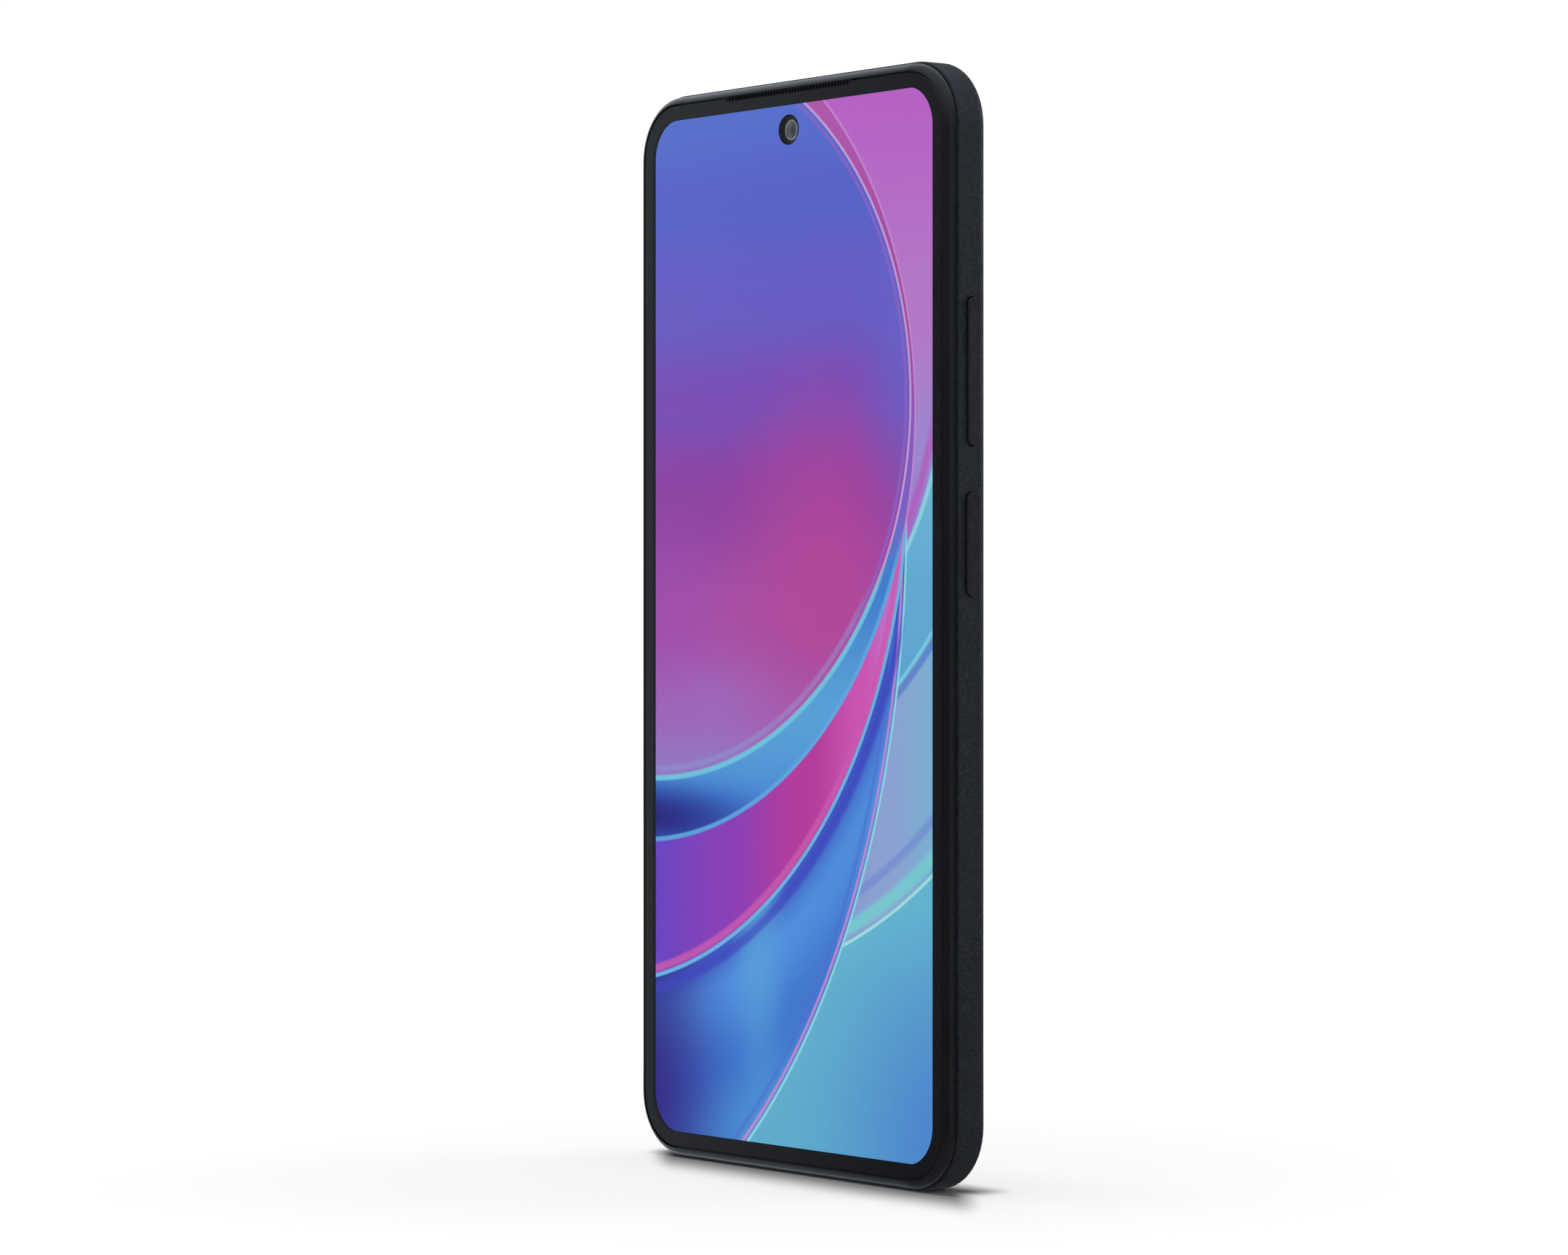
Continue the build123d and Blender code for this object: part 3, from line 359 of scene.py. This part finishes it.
def front_glass():
    """Clear over the lit screen, with a black printed border round it."""
    g = Graph("front_glass")
    border = g.fade(screen_distance(g), -0.03 * MM, 0.03 * MM)
    tone = g.mix(g.fade(g.noise(2500.0), 0.3, 0.7), (0.0045, 0.005, 0.006), (0.007, 0.0078, 0.009))
    ink = g.principled(Base_Color=tone, Roughness=g.fade(g.noise(140.0, 4.0), 0.35, 0.75, 0.04, 0.10))
    g.finish(g.choose(border, shiny_clear(g, (1.0, 1.0, 1.0), 0.03), ink))
    return g.owner


def shiny_clear(g, tint, roughness):
    """A clear layer whose outer faces shine and whose inner faces let everything through."""
    fresnel = g.node("ShaderNodeFresnel")
    fresnel.inputs["IOR"].default_value = 1.48
    outside = g.math("SUBTRACT", 1.0, g.node("ShaderNodeNewGeometry").outputs["Backfacing"])
    clear = g.fill(g.node("ShaderNodeBsdfTransparent"), tint)
    shine = g.node("ShaderNodeBsdfGlossy")
    g.put(shine.inputs["Roughness"], roughness)
    return g.choose(g.math("MULTIPLY", fresnel.outputs[0], outside), clear, shine.outputs[0])


def clear_sheet(name, tint=(1.0, 1.0, 1.0)):
    """A clear disc or sheet with faint smears on its outer face."""
    g = Graph(name)
    smears = g.fade(g.noise(400.0, 3.0), 0.3, 0.7, 0.02, 0.07)
    g.finish(shiny_clear(g, tint, smears))
    return g.owner


def clear_bond():
    """The adhesive between glass and panel, which has no surface of its own to shine."""
    g = Graph("clear_bond")
    tint = g.mix(g.noise(30.0), (0.985, 0.99, 1.0), (1.0, 1.0, 1.0))
    g.finish(g.fill(g.node("ShaderNodeBsdfTransparent"), tint))
    return g.owner


class Wallpaper:
    """An abstract picture of overlapping round fields, drawn in millimetres on the screen.

    X runs from the screen's middle and Z from its lower edge.
    """

    EDGE_BLUR = 0.12
    UNDER_FADE = 6.0
    END_FADE = 8.0

    def __init__(self, g):
        self.g = g
        x, _, z = g.split(g.place())
        self.x = g.math("MULTIPLY", g.math("SUBTRACT", x, SCREEN_X), 1.0 / MM)
        self.z = g.math("MULTIPLY", g.math("SUBTRACT", z, SCREEN_Z - SCREEN_HALF[1]), 1.0 / MM)
        self.colour = (0.0, 0.0, 0.0)

    def ellipse(self, centre, radii):
        """Roughly the distance outside an ellipse, in millimetres."""
        g = self.g
        u = g.math("DIVIDE", g.math("SUBTRACT", self.x, centre[0]), radii[0])
        v = g.math("DIVIDE", g.math("SUBTRACT", self.z, centre[1]), radii[1])
        return g.math("MULTIPLY", g.math("SUBTRACT", g.length(u, v), 1.0), min(radii))

    def cover(self, mask, colour):
        self.colour = self.g.mix(mask, self.colour, colour)

    def field(self, distance, colour, under=None):
        """Fills the inside of an outline, and below a height if one is given."""
        g = self.g
        mask = g.fade(distance, self.EDGE_BLUR, -self.EDGE_BLUR)
        if under is not None:
            mask = g.math("MULTIPLY", mask, g.fade(self.z, under, under - self.UNDER_FADE))
        self.cover(mask, colour)

    def glow(self, centre, radii, colour, amount=1.0, within=None):
        """A soft patch of light, kept inside an outline if one is given."""
        g = self.g
        mask = g.fade(self.ellipse(centre, radii), -min(radii), 0.0, amount, 0.0)
        if within is not None:
            mask = g.math("MULTIPLY", mask, g.fade(within, 0.1, -0.1))
        self.cover(mask, srgb(colour))

    def line(self, distance, offset, half_width, colour, amount=1.0, heights=None):
        """A thin soft line that follows an edge at an offset, between two heights if given."""
        g = self.g
        away = g.math("ABSOLUTE", g.math("SUBTRACT", distance, offset))
        mask = g.fade(away, half_width, half_width * 0.3, 0.0, amount)
        if heights is not None:
            low, high = heights
            mask = g.math("MULTIPLY", mask, g.fade(self.z, low, low + self.END_FADE))
            mask = g.math("MULTIPLY", mask, g.fade(self.z, high, high - self.END_FADE))
        self.cover(mask, srgb(colour))


def wallpaper_colour(g):
    """The picture: a wide round field, and below it crescents that sweep up to the right."""
    w = Wallpaper(g)
    disc = w.ellipse((-36.0, 110.0), (65.0, 56.0))
    band = w.ellipse((-40.0, 108.0), (70.0, 64.0))
    petal = w.ellipse((-52.0, 100.0), (80.0, 78.0))
    stem = w.ellipse((-78.0, 92.0), (106.0, 119.0))
    shallow = w.ellipse((-30.0, 95.0), (95.0, 72.0))
    rise = w.ellipse((-40.0, 110.0), (88.0, 62.0))
    haze = g.math("MINIMUM", w.ellipse((-45.0, 115.0), (82.0, 58.0)), g.math("SUBTRACT", 112.0, w.z))

    # the pale blue ground at the lower right, and the two fields above it
    ground = [(0.0, "5fb0d0"), (0.35, "62b4d2"), (0.62, "66bcd4"), (1.0, "5aa6d4")]
    w.colour = g.ramp(w.z, 0, 60, ground)
    w.glow((40, 2), (44, 46), "4a80d2", 0.9)
    greyed = [(0.0, "5f7fd6"), (0.4, "8597d6"), (0.75, "8fa6d6"), (1.0, "7fb2d6")]
    w.field(shallow, g.ramp(w.x, -8, 34, greyed))
    w.line(shallow, -1.6, 1.5, "78cfd4", 0.9)
    w.line(shallow, 0.2, 0.35, "a8e6e2", 0.9)
    w.line(shallow, -5.4, 1.0, "6f86d2", 0.6)
    w.field(rise, g.ramp(w.z, 56, 100, [(0.0, "4f92cf"), (0.5, "62acd6"), (1.0, "6cb9da")]))
    w.line(rise, 0.1, 0.4, "76cfe2")
    w.line(rise, 1.0, 0.8, "4a74c8", 0.7)

    # the lilac field at the upper right
    lilac = [(0.0, "a06fcf"), (0.2, "9f8bd2"), (0.5, "b97acb"), (1.0, "bb61c9")]
    w.field(haze, g.ramp(w.z, 88, 156, lilac))
    w.line(haze, 0.2, 0.5, "8fd8e4", 0.9, (60, 110))
    w.line(haze, -1.3, 0.9, "b65cc0", 0.8, (60, 110))

    # the blue crescent, filled only up to a height, like the petal over it
    fields_top = 98
    blues = [(0.0, "3a4fc4"), (0.2, "4d8fe0"), (0.5, "3d78d2"), (0.8, "478fd6"), (1.0, "5aa5da")]
    w.field(stem, g.ramp(petal, 0, 34, blues), fields_top)
    w.glow((-38, 4), (30, 44), "3034b0", 0.9, stem)
    w.glow((-40, 6), (28, 40), "2a1c80", 1.0, stem)
    w.glow((-8, 30), (9, 30), "58a6dc", 0.7, stem)
    w.line(stem, 0.0, 0.35, "8fd8e4", 1.0, (-20, 96))
    w.line(stem, -0.8, 0.4, "c58ad2", 0.9, (-20, 96))
    w.line(stem, -2.2, 0.6, "4d6fd2", 0.6, (-20, 90))

    # the rose petal
    roses = [(0.0, "6a3cc4"), (0.3, "8a38ba"), (0.66, "b8369c"), (0.9, "cf54b4"), (1.0, "c472cc")]
    w.field(petal, g.ramp(w.x, -35, 24, roses), fields_top)
    w.line(petal, -0.8, 0.9, "cf58b0", 0.8, (0, 96))
    w.line(petal, 0.3, 0.45, "6cb8e6", 1.0, (0, 96))
    w.line(petal, 2.2, 1.2, "3a3fc0", 0.7, (0, 80))

    # the band that hugs the round field: blue below, rose above
    blue_to_rose = [
        (0.0, "3d7fd4"), (0.18, "57a3dc"), (0.36, "3f7fd0"),
        (0.46, "7d5fc8"), (0.7, "a8489f"), (1.0, "b356ae"),
    ]
    w.field(band, g.ramp(w.z, 44, 156, blue_to_rose))
    w.glow((-40, 48.0), (50, 9.0), "2444c0", 1.0, band)
    w.glow((-40, 48.0), (42, 7.0), "1c1278", 1.0, band)
    w.line(band, -0.3, 0.5, "5fa9e6", 0.9, (0, 92))
    w.line(band, 0.1, 0.3, "c98ad4", 0.8, (84, 200))

    # the round field itself
    rose_to_blue = [
        (0.0, "9278c6"), (0.1, "a266bd"), (0.24, "aa4ba6"), (0.42, "8f3ca4"),
        (0.56, "7a4bb8"), (0.7, "685cc6"), (0.85, "5862cb"), (1.0, "5470d0"),
    ]
    w.field(disc, g.ramp(w.z, 54, 156, rose_to_blue))
    w.glow((8, 83), (32, 40), "b5449c", 0.95, disc)
    w.glow((-36, 80), (26, 26), "9a45b6", 0.45, disc)
    w.glow((34, 118), (22, 40), "6568ce", 0.75, disc)
    w.line(disc, -0.9, 0.4, "8a63c6", 0.8, (72, 200))
    w.line(disc, 0.0, 0.3, "d0a6da", 0.85, (72, 200))
    w.line(disc, 0.1, 0.6, "6ec6e0", 1.0, (0, 88))
    w.line(disc, -1.3, 0.7, "8fa0da", 0.35, (0, 84))
    return w.colour


def lit_screen():
    """The panel's picture, built of faint pixel rows, on its front face only."""
    g = Graph("lit_screen")
    _, y, z = g.split(g.place())
    pixel = 0.064 * MM
    rows = g.fade(g.math("PINGPONG", g.math("MULTIPLY", z, 1.0 / pixel), 0.5), 0.0, 0.5, 0.97, 1.0)
    picture = g.mix(1.0, wallpaper_colour(g), g.join(rows, rows, rows), blend="MULTIPLY")
    unlit = g.fade(screen_distance(g), -0.02 * MM, 0.02 * MM)
    behind = g.math("GREATER_THAN", y, PANEL_LOW[1] + 0.02 * MM)
    oval = g.fade(camera_distance(g), 0.01, -0.01)
    dark = g.math("MAXIMUM", g.math("MAXIMUM", unlit, behind), oval)
    colour = g.mix(dark, picture, (0.0, 0.0, 0.0))
    g.surface(
        Base_Color=(0.004, 0.004, 0.005), Roughness=0.3, Specular_IOR_Level=0.0,
        Emission_Color=colour, Emission_Strength=1.0,
    )
    return g.owner


# ---------------------------------------------------------------- objects and lathe pieces
def add_object(name, data):
    """A new object in the scene for a mesh, a light or a camera."""
    made = bpy.data.objects.new(name, data)
    bpy.context.scene.collection.objects.link(made)
    return made


def add_mesh(name, mesh, material):
    """A new object from a bmesh, which is freed."""
    data = bpy.data.meshes.new(name)
    mesh.to_mesh(data)
    mesh.free()
    data.materials.append(material)
    return add_object(name, data)


def lathe(name, centre, profile, material, body="phone", steps=96):
    """A round piece about an axis along Y. The profile is (radius, depth towards +Y) pairs."""
    turns = [2 * math.pi * i / steps for i in range(steps)]
    mesh = bmesh.new()
    rings = [
        [
            mesh.verts.new(
                (centre[0] + radius * math.cos(a), centre[1] + depth, centre[2] + radius * math.sin(a))
            )
            for a in turns
        ]
        for radius, depth in profile
    ]
    for one, two in zip(rings, rings[1:]):
        for i in range(steps):
            j = (i + 1) % steps
            mesh.faces.new((one[i], one[j], two[j], two[i]))
    bmesh.ops.recalc_face_normals(mesh, faces=mesh.faces)
    piece = add_mesh(name, mesh, material)
    for face in piece.data.polygons:
        face.use_smooth = True
    piece.modifiers.new("edges", "EDGE_SPLIT").split_angle = math.radians(35)
    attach(piece, body)


def dome(radius, rise, depth, steps=10):
    """A shallow lens surface as profile points, from its rim to its middle. Rise is along +Y."""
    turns = [0.5 * math.pi * i / steps for i in range(steps + 1)]
    return [(radius * math.cos(a), depth + rise * math.sin(a)) for a in turns]


def coated_lens(name, centre):
    """A dark lens whose coating turns from violet to green towards its rim."""
    g = Graph(name)
    rimward = g.fade(g.radius(centre[0], centre[2]), 0.4 * MM, 1.8 * MM)
    tint = g.mix(rimward, srgb("1b1440"), srgb("0b2b2a"))
    tint = g.mix(g.fade(g.noise(500.0), 0.3, 0.8, 0.0, 0.4), tint, srgb("05060a"))
    g.surface(Base_Color=tint, Roughness=0.04, Coat_Weight=1.0, Coat_Roughness=0.02, Specular_IOR_Level=0.9)
    return g.owner


# ---------------------------------------------------------------- stage
def make_floor():
    """A plain white floor that glows, dimmed round the phone's foot in a painted shadow, and clear from
    below.
    """
    g = Graph("pale_floor_painted_shadow")
    x, y, _ = g.split(g.place())
    # The floor's glow is dimmed at the phone's foot, which paints the contact shadow. Its shape is set here.
    shift = g.math("MULTIPLY", g.math("MINIMUM", y, 0.0), PAINTED_SHADOW_SHIFT)
    past_end = g.math("SUBTRACT", g.math("ABSOLUTE", g.math("ADD", x, shift)), PAINTED_SHADOW_HALF[0])
    beside = g.math("MULTIPLY", g.math("MAXIMUM", past_end, 0.0), SOONER_BESIDE)
    in_front = g.math("SUBTRACT", g.math("MULTIPLY", y, -1.0), PAINTED_SHADOW_HALF[1])
    behind = g.math("MULTIPLY", g.math("SUBTRACT", y, PAINTED_SHADOW_HALF[1]), SOONER_BEHIND)
    before = g.math("MAXIMUM", g.math("MAXIMUM", in_front, behind), 0.0)
    # The glow grows back away from the foot and grows more away from the middle, so the floor is painted
    # dimmer round the phone.
    near = g.fade(g.length(beside, before), 0.0, PAINTED_SHADOW_REACH, 0.0, FLOOR_GLOW)
    far = g.fade(g.length(x, y), *GLOW_GROWS, 0.0, 1.0 - FLOOR_GLOW)
    top = g.principled(
        Base_Color=g.mix(g.fade(g.noise(3.0), 0.3, 0.7), (0.92, 0.92, 0.92), (0.94, 0.94, 0.94)),
        Roughness=0.9, Specular_IOR_Level=0.1,
        Emission_Color=(1.0, 1.0, 1.0), Emission_Strength=g.math("ADD", near, far),
    )
    underneath = g.node("ShaderNodeNewGeometry").outputs["Backfacing"]
    g.finish(g.choose(underneath, top, g.node("ShaderNodeBsdfTransparent").outputs[0]))

    mesh = bmesh.new()
    bmesh.ops.create_grid(mesh, x_segments=8, y_segments=8, size=FLOOR_HALF)
    floor = add_mesh("floor", mesh, g.owner)
    floor.visible_glossy = False


def make_world():
    """A white backdrop to the camera, soft light all round, and a dim room in the reflections.

    In reflections, directions at the far left and right are paler, and so are those above the horizon,
    overhead and underfoot. X and Z are the parts of a direction of length 1.
    """
    g = Graph("studio", world=True)
    bpy.context.scene.world = g.owner
    x, _, z = g.split(g.node("ShaderNodeTexCoord").outputs["Generated"])
    room = g.fade(x, -0.84, -0.77, PALE_LEFT, DIM_ROOM)
    for paler in (
        g.fade(x, 0.88, 0.98, 0.0, RIGHT_CARD),
        g.fade(z, 0.05, 0.12, 0.0, UPPER_WALL),
        g.fade(z, 0.05, 0.9, 0.0, ABOVE),
        g.fade(z, -0.6, -0.15, BELOW, 0.0),
    ):
        room = g.math("ADD", room, paler)

    def backdrop(colour, strength):
        return g.fill(g.node("ShaderNodeBackground"), colour, strength)

    path = g.node("ShaderNodeLightPath").outputs
    soft, reflected = backdrop((0.98, 0.99, 1.0), SOFT_LIGHT), backdrop((0.82, 0.89, 1.0), room)
    unseen = g.choose(path["Is Glossy Ray"], soft, reflected)
    g.finish(g.choose(path["Is Camera Ray"], unseen, backdrop((1.0, 1.0, 1.0), WHITE_BACKDROP)))


def area_light(name, place, size, power):
    data = bpy.data.lights.new(name, "AREA")
    data.shape = "RECTANGLE"
    data.size, data.size_y = size
    data.energy = power
    light = add_object(name, data)
    light.location = place
    light.rotation_euler = (Vector(LAMP_AIM) - Vector(place)).to_track_quat("-Z", "Y").to_euler()
    return light


def make_lights():
    overhead = area_light("overhead", place=(-0.1, -0.02, 1.35), size=(0.36, 0.36), power=3.6)
    overhead.visible_glossy = False
    area_light("left_high", place=(-1.1, 0.1, 0.8), size=(1.0, 1.0), power=0.5)
    area_light("right_back", place=(0.45, 1.2, 0.45), size=(0.7, 1.0), power=2.0)


def make_camera():
    """A camera that looks level from the front right, at about the height of the screen's middle."""
    azimuth = math.radians(53.54)
    distance = 741.3 * MM
    aside, below = 0.925 * MM, 0.23 * MM
    back = Vector((math.sin(azimuth), -math.cos(azimuth), 0.0))
    right = Vector((math.cos(azimuth), math.sin(azimuth), 0.0))
    aim = Vector((SCREEN_X, PANEL_LOW[1], SCREEN_Z))
    data = bpy.data.cameras.new("camera")
    data.sensor_width = 36.0
    data.lens = 114.79
    data.clip_start = 0.01
    camera = add_object("camera", data)
    camera.location = aim + distance * back - aside * right - Vector((0.0, 0.0, below))
    camera.rotation_euler = (-back).to_track_quat("-Z", "Y").to_euler()
    bpy.context.scene.camera = camera


# ---------------------------------------------------------------- putting it together
def paint_outside():
    paint(front_glass(), "cover_glass")
    paint(clear_bond(), "optical_adhesive")
    paint(lit_screen(), "display_panel")
    NODES["display_panel"].visible_diffuse = False
    paint(gloss_black("rim_gloss", (0.0055, 0.006, 0.007)), "front_rim")
    body = speckled_plastic("body_matt", (0.0065, 0.0085, 0.0135), (0.030, 0.037, 0.058), 0.5, 0.35)
    paint(body, "mid_frame")
    cover = speckled_plastic("cover_matt", (0.008, 0.0105, 0.0165), (0.036, 0.044, 0.068), 0.42, 0.3)
    paint(cover, "rear_cover")
    keys = speckled_plastic("key_satin", (0.0095, 0.0108, 0.0145), (0.026, 0.03, 0.041), 0.4, 0.2)
    paint(keys, "volume_key", "power_key")
    paint(moulding("sensor_satin", (0.0115, 0.0125, 0.016), 0.36), "fingerprint_sensor")
    paint(moulding("grille_black", (0.008, 0.008, 0.009), 0.5, shine=0.15), "earpiece_grille")
    for name in ("main_camera_ring", "second_camera_ring"):
        low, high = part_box(name)
        centre = ((low[0] + high[0]) / 2, (low[2] + high[2]) / 2)
        paint(turned_ring(name + "_metal", centre, (0.55, 0.56, 0.58)), name)
    window = clear_sheet("camera_window_glass", (0.85, 0.88, 0.92))
    paint(window, "main_camera_window", "second_camera_window")
    paint(clear_sheet("flash_lens_clear", (0.95, 0.93, 0.85)), "flash_lens")
    paint(brushed_metal("tray_metal", (0.05, 0.053, 0.06), 0.4), "sim_tray")


def paint_inside():
    paint(circuit_board("board_mask"), "main_board", "sub_board")
    paint(ribbon_print("ribbon"), "display_flex", "main_flex", "battery_flex", "side_key_flex")
    steel = brushed_metal("sheet_steel", (0.55, 0.55, 0.56), 0.34)
    paint(
        steel, "key_bracket", "key_domes", "volume_key_pin", "sim_reader", "eject_rod", "eject_lever",
        "eject_pivot", "shield_cans", "microphones", "usb_socket", "speaker_mesh", "vibration_motor",
        "screws",
    )
    paint(brushed_metal("cast_alloy", (0.42, 0.42, 0.43), 0.45, (1.0, 1.0, 1.0)), "mid_plate")
    paint(brushed_metal("gold_plate", (0.75, 0.55, 0.22), 0.25), "usb_tongue")
    paint(brushed_metal("etched_copper", (0.6, 0.3, 0.14), 0.35), "contactless_antenna")
    paint(moulding("trim_ring", (0.30, 0.31, 0.32), 0.3), "front_camera_ring")
    black = moulding("black_moulding", (0.012, 0.012, 0.013), 0.45)
    paint(
        black, "front_camera", "main_camera", "second_camera", "earpiece", "antenna_carrier", "lower_cover",
        "headphone_jack", "loudspeaker_box", "loudspeaker", "antenna_cable", "board_chips",
        "proximity_sensor",
    )
    tape = moulding("tape", (0.015, 0.015, 0.015), 0.7)
    paint(tape, "glass_adhesive", "cover_adhesive", "battery_adhesive")
    paint(moulding("foam", (0.012, 0.012, 0.012), 0.85, 6000.0), "display_foam", "sim_tray_seal")
    paint(moulding("cell_wrap", (0.03, 0.03, 0.033), 0.35), "battery")
    paint(moulding("graphite", (0.05, 0.05, 0.055), 0.3), "graphite_sheet")
    paint(moulding("card_plastic", (0.7, 0.7, 0.68), 0.4), "sim_cards", "flash_led")


def add_front_lens():
    """The front camera's lens, set in its trim ring."""
    centre = Vector((FRONT_LENS[0], LENS_LOW[1], FRONT_LENS[2]))
    g = Graph("front_lens_glass")
    rimward = g.fade(g.radius(centre[0], centre[2]), 0.5 * MM, 1.2 * MM)
    tint = g.mix(rimward, srgb("3a3f47"), srgb("5c636b"))
    g.surface(Base_Color=tint, Roughness=0.12, Coat_Weight=1.0, Coat_Roughness=0.03)
    crown = dome(FRONT_LENS_EDGE, -FRONT_LENS_RISE, FRONT_LENS_SUNK)
    profile = [(FRONT_LENS_EDGE, FRONT_LENS_BACK), *crown]
    lathe("front_camera_lens", centre, profile, g.owner)


def add_rear_lenses():
    """Stepped barrels and domed lenses behind both rear windows."""
    barrel = moulding("barrel_black", (0.008, 0.008, 0.009), 0.35)
    for name in ("main_camera", "second_camera"):
        low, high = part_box(name)
        window_low, window_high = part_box(name + "_window")
        centre = Vector(((low[0] + high[0]) / 2, high[1], (low[2] + high[2]) / 2))
        radius = (window_high[0] - window_low[0]) / 2
        steps = [(radius - inset, depth) for inset, depth in BARREL_STEPS]
        lathe(name + "_barrel_step", centre, steps, barrel)
        lens = dome(radius - REAR_LENS_INSET, REAR_LENS_RISE, REAR_LENS_DEPTH)
        lathe(name + "_lens", centre, lens, coated_lens(name + "_coating", centre))


bpy.context.scene.view_settings.view_transform = "Standard"
make_world()
make_floor()
make_lights()
make_camera()
paint_outside()
paint_inside()
add_front_lens()
add_rear_lenses()
